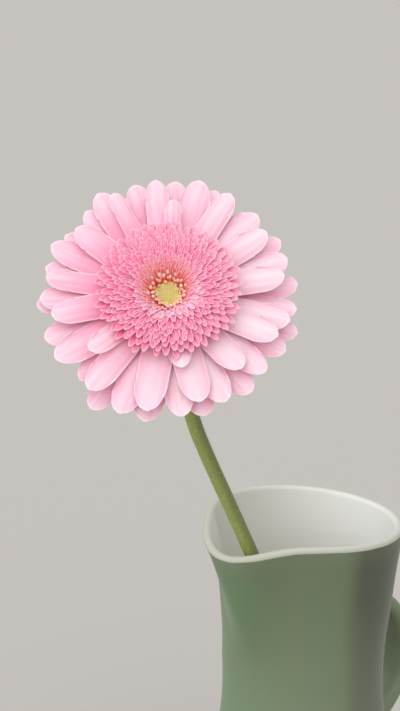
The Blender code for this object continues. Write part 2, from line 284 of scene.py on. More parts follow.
def add_shells(name, points, marks, finish, nodes):
    """A piece of wrapped grids, their poles welded and every face turned outwards."""
    mesh = grid_mesh(name, points, marks, wrap=True)
    shape = bmesh.new()
    shape.from_mesh(mesh)
    bmesh.ops.remove_doubles(shape, verts=shape.verts, dist=0.002 * MM)
    bmesh.ops.recalc_face_normals(shape, faces=shape.faces)
    shape.to_mesh(mesh)
    shape.free()
    add_piece(name, mesh, finish, nodes)


def add_sheets(name, points, marks, thickness, finish, nodes):
    """A piece of open grids with a thickness in metres, half of it to each side."""
    piece = add_piece(name, grid_mesh(name, points, marks), finish, nodes)
    solidify = piece.modifiers.new("Thickness", "SOLIDIFY")
    solidify.thickness = thickness
    solidify.offset = 0


def capped(points, first, last):
    """One tube's rows with a row at each end that is drawn together in a point."""
    first, last = (np.broadcast_to(end, points[:1].shape) for end in (first, last))
    return np.concatenate([first, points, last])[None]


def on_head(radius, side, height, angle):
    """Points from the flower's own measures: radius outwards at an angle, side across it."""
    x = radius * np.cos(angle) - side * np.sin(angle)
    y = radius * np.sin(angle) + side * np.cos(angle)
    local = np.stack(np.broadcast_arrays(x, y, height), axis=-1)
    return local @ np.array(HEAD_TURN).T + HEAD_ORIGIN


def node(tree, kind, inputs=(), **settings):
    """Add one shader node with its settings; each input takes a value, a socket or a node.

    A node that is given stands for its first output.
    """
    made = tree.nodes.new(kind)
    for key, value in settings.items():
        setattr(made, key, value)
    for key, value in dict(inputs).items():
        if isinstance(value, bpy.types.Node):
            value = value.outputs[0]
        if isinstance(value, bpy.types.NodeSocket):
            tree.links.new(value, made.inputs[key])
        else:
            made.inputs[key].default_value = value
    return made


def new_finish(name, **constants):
    """A material with a Principled shader whose constant sockets are set on it directly."""
    material = bpy.data.materials.new(name)
    material.use_nodes = True
    shader = material.node_tree.nodes["Principled BSDF"]
    for key, value in constants.items():
        shader.inputs[key.replace("_", " ")].default_value = value
    return material, material.node_tree


def lay_skin(tree, color, coats, height, strength, depth):
    """Give the shader its colour and a bump that is some mm deep.

    The coats are laid over the colour in turn, each a shade and the share that it covers.
    """
    for share, shade in coats:
        color = node(tree, "ShaderNodeMix", {0: share, 6: color, 7: shade},
                     data_type="RGBA").outputs[2]
    bump = node(tree, "ShaderNodeBump", {
        "Strength": strength, "Distance": depth * MM, "Height": height})
    shader = tree.nodes["Principled BSDF"]
    tree.links.new(color, shader.inputs["Base Color"])
    tree.links.new(bump.outputs[0], shader.inputs["Normal"])


# ---------------------------------------------------------------- jug

def wall_point(angle, radius, height):
    """The wall's outer point at an angle from -X.

    The columns are gathered towards -X.  The radius grows by the spout's reach times a bell of
    the angle, which widens near the rim, and shrinks by a shallow hollow on each flank.  The
    rim is tilted a little, and dips at the spout.
    """
    angle = angle * (1 - SPOUT_GATHER * np.exp(-angle**2))
    rise = np.maximum((height - SPOUT_START) / (JUG_HEIGHT - SPOUT_START), 0)
    half_angle = SPOUT_HALF_ANGLE + np.where(
        angle < 0, SPOUT_SPREAD * rise**SPOUT_SPREAD_POWER,
        SPOUT_FRONT_SPREAD * rise**SPOUT_FRONT_SPREAD_POWER)
    share = np.exp(-((angle / half_angle) ** 2) * math.log(2)) * smoothstep(rise)
    turn = math.pi * np.clip((height - SPOUT_START) / HOLLOW_SPAN, 0, 1)
    off_flank = (np.abs(angle) - HOLLOW_ANGLE) / HOLLOW_HALF_ANGLE
    hollow = np.exp(-(off_flank**2) * math.log(2)) * np.sin(turn)
    radius = radius + SPOUT_REACH * share - HOLLOW_DEPTH * hollow
    x, y = -radius * np.cos(angle), -radius * np.sin(angle)
    slope = x * math.cos(RIM_RISES_TOWARDS) + y * math.sin(RIM_RISES_TOWARDS)
    slope = slope * RIM_SLOPE * smoothstep(rise)
    return np.stack([x, y, height + slope - SPOUT_DIP * share], axis=-1)


def jug_profile():
    """(radius, height) rows up the outer wall, from the foot's underside to the rim."""
    foot = smooth_through(FOOT_KEYS + JUG_KEYS[:1], np.linspace(0, 1, 21))
    wall = smooth_through(JUG_KEYS, np.linspace(0, 1, 110))
    return np.vstack([foot[:-1], wall])


def jug_shell():
    """Closed shell of the jug as one grid, wrapped round Z.

    Rows run from the middle of the base out to the foot, up the outer wall, over a half-round
    lip, down the inner wall, which is the outer one moved inwards along its normal, and round
    a fillet to the middle of the floor.
    """
    columns = 288
    angle = full_turn(columns) - math.pi
    profile = jug_profile()
    top = JUG_HEIGHT - LIP_HEIGHT
    radius, height = profile[profile[:, 1] < top].T
    radius = np.append(radius, np.interp(top, profile[:, 1], profile[:, 0]))
    height = np.append(height, top)
    outer = wall_point(angle[None, :], radius[:, None], height[:, None])
    along = unit(np.gradient(outer, axis=0))
    around = unit(np.roll(outer, -1, axis=1) - np.roll(outer, 1, axis=1))
    normal = unit(np.cross(around, along))
    turn = np.linspace(0, math.pi, 11)[1:-1, None, None]
    over_depth = np.sign(np.cos(turn)) * LIP_HEIGHT * (1 - np.sin(turn))
    over = (outer[-1] - normal[-1] * WALL / 2 * (1 - np.cos(turn))
            + along[-1] * LIP_HEIGHT * np.sin(turn))
    inside = height > INNER_WALL_START
    inner = (outer - normal * WALL)[inside][::-1]
    turn = np.linspace(0, math.pi / 2, 7)[1:, None]
    last = inner[-1]
    reach = np.hypot(last[:, 0], last[:, 1])
    shrink = 1 - FLOOR_CORNER * (1 - np.cos(turn)) / reach
    sink = WALL + (last[:, 2] - WALL) * (1 - np.sin(turn))
    fillet = np.stack([last[:, 0] * shrink, last[:, 1] * shrink, sink], axis=-1)
    fall = np.linspace(1, 0, 7)[1:, None]
    bottom = np.stack([fillet[-1, :, 0] * fall, fillet[-1, :, 1] * fall,
                       np.broadcast_to(fillet[-1, :, 2], (len(fall), columns))], axis=-1)
    base = np.array([wall_point(angle, *key) for key in RECESS_KEYS])
    rows = [base, outer, over, inner, fillet, bottom]
    depth = np.concatenate([
        np.full(len(base), BASE_DEPTH), JUG_HEIGHT - height, over_depth.ravel(),
        height[inside][::-1] - JUG_HEIGHT, np.full(len(fillet) + len(bottom), -JUG_HEIGHT)])
    return np.concatenate(rows)[None], depth[None, :, None]


def handle_shell():
    """Closed tube of the ear handle, wrapped round its centre line.

    The section is a superellipse, wide across the jug.  Near the wall each point is moved out
    from the centre line by a quarter-round fillet of its distance to the wall, and no point
    goes deeper than half way through the wall.
    """
    path = smooth_through(HANDLE_KEYS, np.linspace(0, 1, 120))
    tangent = unit(np.gradient(path, axis=0))
    turn = full_turn(48)
    power = 2 / HANDLE_SQUARENESS
    across = np.sign(np.cos(turn)) * np.abs(np.cos(turn)) ** power
    sideways = np.sign(np.sin(turn)) * np.abs(np.sin(turn)) ** power
    out = np.stack([-tangent[:, 1], np.zeros(len(path)), tangent[:, 0]], axis=-1)
    centre = np.stack([path[:, 0], np.zeros(len(path)), path[:, 1]], axis=-1)
    offset = (out[:, None] * across[:, None] * HANDLE_THICKNESS / 2
              + np.array([0, 1, 0]) * sideways[:, None] * HANDLE_WIDTH / 2)
    points = centre[:, None] + offset
    profile = jug_profile()
    wall = np.interp(points[..., 2], profile[:, 1], profile[:, 0])
    gap = np.clip(np.hypot(points[..., 0], points[..., 1]) - wall, 0, HANDLE_FILLET)
    push = HANDLE_FILLET - np.sqrt(HANDLE_FILLET**2 - (HANDLE_FILLET - gap) ** 2)
    points = points + unit(offset) * push[..., None]
    wall = np.interp(points[..., 2], profile[:, 1], profile[:, 0]) - WALL / 2
    buried = np.sqrt(np.maximum(wall**2 - points[..., 1] ** 2, 0))
    points[[0, -1], :, 0] = buried[[0, -1]]
    points[..., 0] = np.maximum(points[..., 0], buried)
    return capped(points, points[0].mean(axis=0), points[-1].mean(axis=0))


def stoneware_glaze(settings):
    """Earthenware dipped in sage-green glaze outside and warm white glaze inside.

    The glass skin is smooth and gives a broad soft highlight; the colour drifts slowly, is painted
    greener on the side that faces the key light and browner on the side away from it, pales where
    the glaze thins below the lip and, as painted light, down the swell of the body, and is white
    above a wavy line just below the lip.  Inside, the white is painted darker towards the spout as
    painted shade.  The foot ring is wiped and shows buff clay.
    """
    material, tree = new_finish(
        "glazed_earthenware", Roughness=settings.roughness, IOR=1.5, Specular_IOR_Level=0.3,
        Coat_Weight=0.06, Coat_Roughness=0.3)
    where = node(tree, "ShaderNodeTexCoord").outputs["Object"]
    place = node(tree, "ShaderNodeSeparateXYZ", {0: where}).outputs
    depth = node(tree, "ShaderNodeAttribute", attribute_name="below_lip").outputs["Fac"]
    band = settings.rim_band / MM
    # the glaze ran down in soft curtains about 30 mm wide and four times as long
    curtains = node(tree, "ShaderNodeMapping", {"Vector": where, "Scale": (1.0, 1.0, 0.25)})
    pool = node(tree, "ShaderNodeTexNoise", {"Vector": curtains, "Scale": 33.0, "Detail": 2.0})
    # the line where the green begins wanders over about 12 mm
    wander = node(tree, "ShaderNodeTexNoise", {"Vector": where, "Scale": 80.0, "Detail": 1.0})
    line = node(tree, "ShaderNodeMath", {0: wander, 1: -0.9, 2: depth},
                operation="MULTIPLY_ADD")
    side = node(tree, "ShaderNodeMath", {0: place["Y"], 1: place["X"]}, operation="SUBTRACT")
    # each share goes from start to end as its value goes from low to high: the green is thin below
    # the lip, and painted paler down the belly as painted light; the white glaze inside is painted
    # darker the nearer it comes to the spout, as painted shade
    shares = {}
    for key, value, low, high, start, end, ease in (
            ("even", pool, 0.3, 0.7, 0.0, 1.0, "LINEAR"),
            ("shoulder", depth, band, band + 9.0, 0.12, 0.0, "SMOOTHSTEP"),
            ("lit_belly", depth, 25.0, 70.0, 0.0, 0.26, "LINEAR"),
            ("collar", depth, 4.0, 15.0, 0.014, 0.0, "SMOOTHSTEP"),
            ("off_handle", place["X"], 0.034, 0.043, 1.0, 0.0, "LINEAR"),
            ("spout_shade", side, -0.045, 0.05, 0.0, 1.0, "LINEAR"),
            ("lip", depth, -1.6, 0.8, 0.0, 1.0, "SMOOTHSTEP"),
            ("dipped", line, band - 0.75, band - 0.15, 0.0, 1.0, "SMOOTHSTEP"),
            ("bare", place["Z"], 0.0006, 0.0009, 1.0, 0.0, "LINEAR")):
        shares[key] = node(tree, "ShaderNodeMapRange", {
            "Value": value, "From Min": low, "From Max": high, "To Min": start, "To Max": end},
            interpolation_type=ease)
    # thin glaze below the lip, and painted light down the belly
    thin = node(tree, "ShaderNodeMath", {0: shares["shoulder"], 1: shares["lit_belly"]},
                operation="MAXIMUM")
    # painted light and shade: the side towards -X and +Y, which faces the key light, is painted
    # greener, more so lower down and less round the collar, and the other side browner and darker,
    # but not the handle
    drift_and_side_shade = node(tree, "ShaderNodeMath", {0: pool, 1: 0.03, 2: side},
                   operation="MULTIPLY_ADD")
    lower = node(tree, "ShaderNodeMath", {0: place["Z"], 1: -0.2, 2: drift_and_side_shade},
                 operation="MULTIPLY_ADD")
    lower = node(tree, "ShaderNodeMath", {0: lower, 1: shares["collar"]}, operation="SUBTRACT")
    # the first share lays painted light on the lit side, the second painted shade on the other
    lit_share, warm = (node(tree, "ShaderNodeMapRange", {
        "Value": value, "From Min": low, "From Max": high, "To Max": shares["off_handle"]},
        interpolation_type="SMOOTHSTEP")
        for value, low, high in ((lower, 0.010, 0.045), (drift_and_side_shade, 0.001, -0.018)))
    green = settings.glaze_deep
    for share, shade in ((shares["even"], settings.glaze), (lit_share, settings.glaze_lit_side),
                         (warm, settings.glaze_shaded_side), (thin, settings.glaze_thin_and_lit)):
        green = node(tree, "ShaderNodeMix", {0: share, 6: green, 7: shade},
                     data_type="RGBA").outputs[2]
    # the first coat is painted shade: the white glaze inside darker towards the spout
    coats = ((shares["spout_shade"], settings.inner_shaded), (shares["lip"], settings.lip_glaze),
             (shares["dipped"], green), (shares["bare"], settings.clay))
    # a glazed skin's orange peel is about 2 mm from crest to crest and a few hundredths deep
    peel = node(tree, "ShaderNodeTexNoise", {"Vector": where, "Scale": 500.0, "Detail": 1.0})
    lay_skin(tree, settings.inner_glaze, coats, peel, 0.25, 0.03)
    return material


# ---------------------------------------------------------------- stalk

def stem_tube():
    """Closed tube along the stalk's curve, with how far up each point is and how much painted
    shade it takes on the flank away from the key light.

    Its radius tapers from the foot to the neck, where it flares; a cosine round the tube, slowly
    turning, makes the ribs, which fade out at the foot.
    """
    share = np.linspace(0, 1, STEM_ROWS)
    path = smooth_through(STEM_KEYS, share)
    tangent = unit(np.gradient(path, axis=0))
    side = unit(np.cross(tangent, [0.0, 1.0, 0.0]))
    other = np.cross(side, tangent)
    turn = full_turn(48)
    ribs = np.cos(STEM_RIBS * turn + STEM_TWIST * share[:, None])
    ribs = 1 + STEM_RIB_DEPTH * ribs * smoothstep(share[:, None], 0, 0.1)
    radius = STEM_FOOT_RADIUS + (STEM_NECK_RADIUS - STEM_FOOT_RADIUS) * share
    radius = radius + STEM_FLARE * smoothstep(share, 0.955, 1.0) ** 2
    ring = rings(side, other, turn)
    points = path[:, None] + ring * (radius[:, None] * ribs)[..., None]
    points = capped(points, path[0], path[-1] + tangent[-1] * 1.5)
    along = np.concatenate([[0], share, [1]])[None, :, None]
    # painted shade, strongest on the flank of the stalk away from the key light
    shaded = smoothstep(ring @ unit(STEM_SHADING_TOWARDS), -0.2, 0.9)
    shaded = np.concatenate([shaded[:1], shaded, shaded[-1:]])[None]
    return points, along, shaded


def stalk_skin(settings):
    """Fresh gerbera stalk: waxy green with long flecks, lighter at its neck, brown at its foot."""
    material, tree = new_finish(
        "fresh_green_stalk", Roughness=0.5, IOR=1.42, Subsurface_Weight=0.2,
        Subsurface_Radius=(0.6, 1.0, 0.25), Subsurface_Scale=0.8 * MM)
    where = node(tree, "ShaderNodeTexCoord").outputs["Object"]
    along, shaded = (node(tree, "ShaderNodeAttribute", attribute_name=mark).outputs["Fac"]
                      for mark in ("along", "shaded"))
    # flecks are drawn out along the stalk, about 0.7 mm wide and 6 mm long
    flecks = node(tree, "ShaderNodeMapping", {"Vector": where, "Scale": (1400.0, 1400.0, 170.0)})
    fleck = node(tree, "ShaderNodeTexNoise", {"Vector": flecks, "Scale": 1.0, "Detail": 2.0})
    fleck = node(tree, "ShaderNodeMapRange", {"Value": fleck, "From Min": 0.3, "From Max": 0.75})
    neck, foot = (node(tree, "ShaderNodeMapRange", {
        "Value": along, "From Min": low, "From Max": high, "To Min": start, "To Max": end},
        interpolation_type="SMOOTHSTEP")
        for low, high, start, end in ((0.55, 1.0, 0.0, 0.55), (0.0, 0.18, 0.7, 0.0)))
    # painted shade: the flank of the stalk away from the key light is painted a dull olive brown
    shading = node(tree, "ShaderNodeMath", {0: shaded, 1: 0.75}, operation="MULTIPLY")
    coats = ((fleck, settings.stem), (neck, settings.stem_light), (shading, settings.stem_shading),
             (foot, settings.stem_foot))
    lay_skin(tree, settings.stem_deep, coats, fleck, 0.4, 0.05)
    return material


def stalk_hairs(tube, count, mean_length):
    """Three-sided spikes that stand off the tube, tilted and of uneven lengths by chance."""
    rng = np.random.default_rng(11)
    rows = rng.integers(*HAIR_ROWS, count)
    base = tube[rows, rng.integers(0, tube.shape[1], count)]
    out = unit(base - tube[rows].mean(axis=1))
    out = unit(out + rng.normal(0, 0.3, out.shape))
    length = mean_length * rng.uniform(0.5, 1.4, count)
    side = unit(np.cross(out, [0.31, 0.77, 0.55]))
    foot = rings(side, np.cross(out, side), full_turn(3)) * HAIR_THICKNESS / 2
    tip = (out * length[:, None])[:, None]
    return base[:, None] + np.concatenate([foot, tip], axis=1)


def spike_mesh(name, spikes):
    """A mesh of three-sided spikes, each with three faces and a floor."""
    faces = np.array([[0, 1, 3], [1, 2, 3], [2, 0, 3], [2, 1, 0]])
    faces = (faces[None] + 4 * np.arange(len(spikes))[:, None, None]).reshape(-1, 3)
    mesh = bpy.data.meshes.new(name)
    mesh.from_pydata((spikes * MM).reshape(-1, 3).tolist(), [], faces.tolist())
    return mesh


# ---------------------------------------------------------------- flower head

def revolved(keys, rows, columns):
    """Closed solid of revolution about the head's axis through the (radius, height) keys."""
    profile = smooth_through(keys, np.linspace(0, 1, rows))
    profile[[0, -1], 0] = 0
    radius = np.maximum(profile[:, 0], 0)[:, None]
    return on_head(radius, 0.0, profile[:, 1][:, None], full_turn(columns)[None])[None]


def bract_sheets(keys, count, width, rng):
    """Narrow pointed leaves side by side, with the share of the way along each.

    A width that swells and runs out to a point is carried along the keys' curve and cupped
    towards the head.
    """
    share = np.linspace(0, 1, 12)
    path = smooth_through(keys, share)[None, :, None]
    share = share[None, :, None]
    across = np.linspace(-1, 1, 5)[None, None, :]
    half = width / 2 * (0.75 + 0.5 * share) * np.sqrt(1 - smoothstep(share, 0.45, 1.02))
    turn = 2 * math.pi * (np.arange(count) + rng.uniform(-0.12, 0.12, count)) / count
    reach = rng.uniform(-0.6, 0.35, count)[:, None, None] * share**2
    cup = 0.35 * half * across**2
    return on_head(path[..., 0] + reach - 0.5 * cup, half * across, path[..., 1] + 0.6 * cup,
                   turn[:, None, None]), share


def ray_sheet(keys, tip, floret, rng):
    """One ray floret as a sheet.

    Its midrib follows the layer's keys out to the reach.  The half width grows smoothly from
    the claw to a strap; the rows, closer together towards the tip, are bowed so that the end is
    a blunt oval with two notches.  The sheet droops with the square of the share across, is
    channelled near the claw, has two long grooves, and rises with the square of the share
    along and at its very edge.  Each one is tilted, waved and swayed a little by chance.
    """
    degrees, reach, width, *drop = floret
    angle = math.radians(degrees)
    reach = reach - 0.42 * TIP_RISE * math.sin(angle)
    share = 1 - (1 - np.linspace(0, 1, 40)[:, None]) ** 1.35
    across = np.sin(np.linspace(-0.5, 0.5, 23) * math.pi)[None]
    midrib = smooth_through([*keys, (reach, tip)], np.linspace(0, 1, 60))
    claw = midrib[0, 0]
    oval = 1 - np.sqrt(1 - across**2)
    blunt = width * rng.uniform(0.8, 1.0)
    notches = np.exp(-((np.abs(across) - 0.3) / 0.1) ** 2) * rng.uniform(0.2, 1.0)
    end = blunt * oval + NOTCH_DEPTH * notches
    radius = claw + (reach - claw) * share - end * share**5
    half = CLAW_WIDTH / 2 + (width - CLAW_WIDTH) / 2 * smoothstep(share, 0, 0.42)
    strap = smoothstep(share, 0.0, 0.7)
    height = np.interp(radius, midrib[:, 0], midrib[:, 1]) - EDGE_DROOP * strap * across**2
    channel = CLAW_CHANNEL * across**2 * (1 - smoothstep(share, 0.05, 0.5))
    height = height + channel * half / width
    grooves = np.exp(-((np.abs(across - rng.uniform(-0.06, 0.06)) - 0.36) / 0.12) ** 2)
    height = height - GROOVE_DEPTH * grooves * strap * (1 - smoothstep(share, 0.86, 1.0))
    height = height - sum(drop) * smoothstep(share, 0, 0.35) + TIP_RISE * share**2
    height = height + EDGE_LIFT * smoothstep(np.abs(across), 0.82, 1.0) * strap
    height = height + half * across * rng.uniform(-0.09, 0.09) * strap
    height = height + rng.uniform(-0.5, 0.3) * smoothstep(share, 0.7, 1.0)
    wave = np.sin(share * rng.uniform(5, 8) + rng.uniform(0, 6))
    height = height + WAVE_HEIGHT * wave * across * strap
    sway = rng.uniform(-0.5, 0.5) * share**2
    points = on_head(radius, half * across + sway, height, angle)
    # painted light: the upper layers are painted paler on one side of the head, the lower layers
    # and the tips less so as painted shade, and each petal a little more or less by chance
    pale_and_lit = 0.5 + 0.5 * math.cos(angle - LIT_RAYS_TOWARDS)
    pale_and_lit = pale_and_lit * smoothstep(tip, -3.0, 3.0)
    tone = rng.uniform(0, 1)
    pale_and_lit = np.clip(pale_and_lit + rng.uniform(-0.15, 0.15), 0, 1)
    return points[None], {"along": share, "across": across, "tone": tone,
                          "pale_and_lit": pale_and_lit * (1 - 0.45 * smoothstep(share, 0.75, 1.0))}


def trans_shapes(count, rng):
    """Tip radius, angle and then path, width, cup and point of each short petal.

    The tips lie at golden-angle turns and in equal steps outwards; the rest is read off the
    tables at the tip's radius, and varies a little by chance.
    """
    share = (np.arange(count) + 0.5) / count
    tips = TRANS_TIPS[0] + (TRANS_TIPS[-1] - TRANS_TIPS[0]) * share
    turn = np.arange(count) * GOLDEN_ANGLE + rng.uniform(-0.045, 0.045, count)
    table = np.reshape(TRANS_PATHS, (len(TRANS_TIPS), -1)).T
    paths = np.stack([np.interp(tips, TRANS_TIPS, row) for row in table], axis=-1)
    paths = paths.reshape(count, -1, 2)
    paths[:, -1] += rng.uniform(-0.5, 0.5, (count, 2))
    width = np.interp(tips, TRANS_TIPS, TRANS_WIDTHS)
    cup = rng.uniform(0.35, 0.65, count)
    point = np.interp(tips, TRANS_TIPS, TRANS_POINTS) * rng.uniform(0.75, 1.25, count)
    return tips, turn, (paths, width, cup, point)


def trans_marks(near, side, share):
    """How warm and how pale the short petals are, from each one's tip radius and angle.

    The ones nearest the disc take on its orange, further out on one side of the head.  Their
    tips are paler, with painted light strongest on another side, and the petals of the brim are
    paler, with painted light strongest on a third.
    """
    reach = 12.0 + 2.0 * np.cos(side - WARMEST_TOWARDS)
    warm = 1 - smoothstep(near, reach - 3.0, reach + 1.5)
    # the inner ones' tips are paler, with painted light strongest towards one side
    heart = (1 - smoothstep(near, 11.0, 16.5)) * smoothstep(share, 0.55, 0.9)
    heart = heart * (0.8 + 0.35 * np.cos(side - LIT_HEART_TOWARDS))
    # the brim is paler, with painted light strongest towards another side
    brim = smoothstep(near, 15.0, 25.0) * (0.34 + 0.22 * np.cos(side - LIT_BRIM_TOWARDS))
    return warm, np.maximum(heart, brim)


def cupped_sheets(angle, paths, width, cup, point):
    """Small cupped straps on the head.

    Each path of (radius, height) keys is read at the rows; the strap is carried along it, its
    edges bent towards the path's inner side by the square of the share across, its rows bowed
    near the end so that it closes in a rounded point, and its tip raised like a spoon's.
    """
    path = smooth_through(np.moveaxis(paths, 1, 0), TRANS_ROWS)
    tangent = unit(np.gradient(path, axis=0))
    path, tangent = (np.moveaxis(part, 1, 0)[:, :, None] for part in (path, tangent))
    share = TRANS_ROWS[None, :, None]
    across = np.sin(np.linspace(-0.5, 0.5, 7) * math.pi)[None, None]
    half = (width / 2)[:, None, None] * (0.55 + 0.45 * smoothstep(share, 0.2, 0.8))
    lift = cup[:, None, None] * half * (across**2 + 0.55 * smoothstep(share, 0.72, 1.0))
    bow = point[:, None, None] * (1 - np.sqrt(1 - 0.98 * across**2)) * smoothstep(share, 0.55, 1)
    radius = path[..., 0] - tangent[..., 1] * lift - tangent[..., 0] * bow
    height = path[..., 1] + tangent[..., 0] * lift - tangent[..., 1] * bow
    return on_head(radius, half * across, height, angle[:, None, None]), share, across


def petal_finish(name, settings, kind, vein_count, rim):
    """The skin of a kind of petal: thin, matt and soft, with light passing through it.

    Colour runs from root to tip, is painted deeper on the flanks as painted shade, is paler at
    the very edge, and is broken by faint lengthwise streaks.  It fades by its pale mark, which is
    partly painted light, and takes on the disc's orange by the warm one.  Veins stand up a few
    hundredths of a millimetre.
    """
    material, tree = new_finish(
        name, Roughness=0.55, IOR=1.4, Specular_IOR_Level=0.25,
        Subsurface_Weight=settings.softness, Subsurface_Radius=(1.0, 1.0, 1.0),
        Subsurface_Scale=0.15 * MM)
    root, middle, tip, edge_color = (
        getattr(settings, f"{kind}_{part}") for part in ("root", "middle", "tip", "edge"))
    marks = {key: node(tree, "ShaderNodeAttribute", attribute_name=key).outputs["Fac"]
             for key in ("along", "across", "tone", "pale_and_lit", "warm")}
    # streaks: about four across a petal and two along it, moved on for each petal
    wide, long, seed, pale_and_lit, veins = (
        node(tree, "ShaderNodeMath", {0: marks[key], 1: times}, operation="MULTIPLY")
        for key, times in (("across", 4.0), ("along", 1.6), ("tone", 60.0), ("pale_and_lit", 0.85),
                           ("across", vein_count * math.pi)))
    spread = node(tree, "ShaderNodeCombineXYZ", {0: wide, 1: long, 2: seed})
    streak = node(tree, "ShaderNodeTexNoise", {"Vector": spread, "Scale": 1.0, "Detail": 3.0})
    flank = node(tree, "ShaderNodeMath", {0: marks["across"]}, operation="ABSOLUTE")
    # each share goes from nothing to its top as its value goes from low to high
    lower, upper, streak, deep, side, end = (node(tree, "ShaderNodeMapRange", {
        "Value": value, "From Min": low, "From Max": high, "To Max": top},
        interpolation_type=ease)
        for value, low, high, top, ease in (
            (marks["along"], 0.3, 0.7, 1.0, "SMOOTHSTEP"),
            (marks["along"], 0.55, 0.97, 1.0, "SMOOTHSTEP"),
            (streak, 0.42, 0.68, 0.4, "LINEAR"),
            (flank, 0.3, 0.95, 0.4, "SMOOTHSTEP"),
            (flank, 1 - rim, 1.0, 0.8, "LINEAR"),
            (marks["along"], 1 - rim / 4, 1.0, 0.8, "LINEAR")))
    warm = node(tree, "ShaderNodeMath", {0: upper, 1: -0.3, 2: marks["warm"]},
                operation="MULTIPLY_ADD", use_clamp=True)
    edge = node(tree, "ShaderNodeMath", {0: side, 1: end}, operation="MAXIMUM")
    # the flank share lays painted shade, and the pale mark painted light
    coats = ((lower, middle), (upper, tip), (streak, root), (pale_and_lit, edge_color),
             (warm, settings.disc), (deep, root), (edge, edge_color))
    vein = node(tree, "ShaderNodeMath", {0: veins}, operation="COSINE")
    lay_skin(tree, root, coats, vein, 0.12, 0.04)
    return material


def disc_tubes(count, rng):
    """Closed little tubes on the disc.

    Each stands on the receptacle and leans out to a tip on the curve of the disc's tips; its
    radius is that of a slim neck that swells into a round knob, and both ends are poles.
    """
    tips = smooth_through(DISC_TIPS, ((np.arange(count) + 0.5) / count) ** 0.85)
    turn = np.arange(count) * GOLDEN_ANGLE + rng.uniform(-0.08, 0.08, count)
    tips[:, 0] += rng.uniform(-1.2, 0.6, count)
    foot = DISC_FOOT_RADIUS + 0.2 * (tips[:, 0] - DISC_FOOT_RADIUS)
    foot = np.stack([foot, np.full(count, DISC_FOOT_HEIGHT)], axis=-1)
    rows, girth = np.transpose(TUBE_PROFILE)
    span = tips - foot
    bend = (rows**1.6)[None, :, None]
    straight = rows[None, :, None]
    path = foot[:, None] + np.concatenate(
        [span[:, None, :1] * bend, span[:, None, 1:] * straight], axis=-1)
    ring = full_turn(7)
    size = rng.uniform(0.62, 1.08, count)[:, None, None] * girth[None, :, None]
    points = on_head(path[..., :1] + size * np.cos(ring), size * np.sin(ring), path[..., 1:],
                     turn[:, None, None])
    return points, rows[None, :, None]


def bud_knobs(count):
    """Closed buds packed on the dome by golden-angle turns, with the share of the way up each.

    Each is a small knob set along the dome's normal, with a blunt pole at its top.  They are
    larger near the rim, whose radius two sines of the turn make a little uneven.
    """
    share = np.sqrt((np.arange(count) + 0.5) / count)
    turn = np.arange(count) * GOLDEN_ANGLE
    lobes = 0.1 * np.sin(5 * turn + 1) + 0.09 * np.sin(8 * turn)
    radius = 1.04 * BUD_RADIUS * share * (1 + lobes * share**3)
    fall = np.sqrt(np.maximum(1 - (radius / (BUD_RADIUS * 1.2)) ** 2, 0.02))
    height = BUD_BASE + BUD_RISE * fall
    slope = unit(np.stack([radius / BUD_RADIUS**2, fall / BUD_RISE], axis=-1))
    rise, girth = np.transpose(BUD_PROFILE)
    ring = full_turn(6)
    swell = (1 + 0.9 * share**6)[:, None, None]
    rise = rise[None, :, None] * swell
    girth = girth[None, :, None] * swell
    lean = girth * np.cos(ring)
    outward, upward = slope[:, None, None, 0], slope[:, None, None, 1]
    out = radius[:, None, None] + outward * rise + upward * lean
    up = height[:, None, None] + upward * rise - outward * lean
    points = on_head(out, girth * np.sin(ring), up, turn[:, None, None])
    return points, np.linspace(0, 1, rise.shape[1])[None, :, None]


def bud_dome():
    """Closed dome under the buds: a quarter of an ellipse, turned round the head's axis."""
    arc = [(0.86 * BUD_RADIUS * math.sin(turn), BUD_BASE + BUD_RISE * math.cos(turn))
           for turn in np.linspace(0, math.pi / 2, 9)]
    return revolved([*arc, (0.0, BUD_BASE)], 28, 48)


def two_tone(name, low, high, start, end, scale, **constants):
    """A plant's skin whose colour goes from low to high along the piece, mottled at a scale."""
    material, tree = new_finish(name, **constants)
    where = node(tree, "ShaderNodeTexCoord").outputs["Object"]
    along = node(tree, "ShaderNodeAttribute", attribute_name="along").outputs["Fac"]
    mottle = node(tree, "ShaderNodeTexNoise", {"Vector": where, "Scale": scale, "Detail": 2.0})
    uneven = node(tree, "ShaderNodeMath", {0: mottle, 1: 0.25, 2: along},
                  operation="MULTIPLY_ADD")
    # the mottle adds about 0.12 to the share along
    share = node(tree, "ShaderNodeMapRange", {
        "Value": uneven, "From Min": start + 0.12, "From Max": end + 0.12},
        interpolation_type="SMOOTHSTEP")
    lay_skin(tree, low, [(share, high)], mottle, 0.3, 0.05)
    return material


# ---------------------------------------------------------------- settings

def color_setting(name, description, code):
    return bpy.props.FloatVectorProperty(name=name, description=description, size=4, min=0, max=1,
                                         subtype="COLOR", default=linear(code))


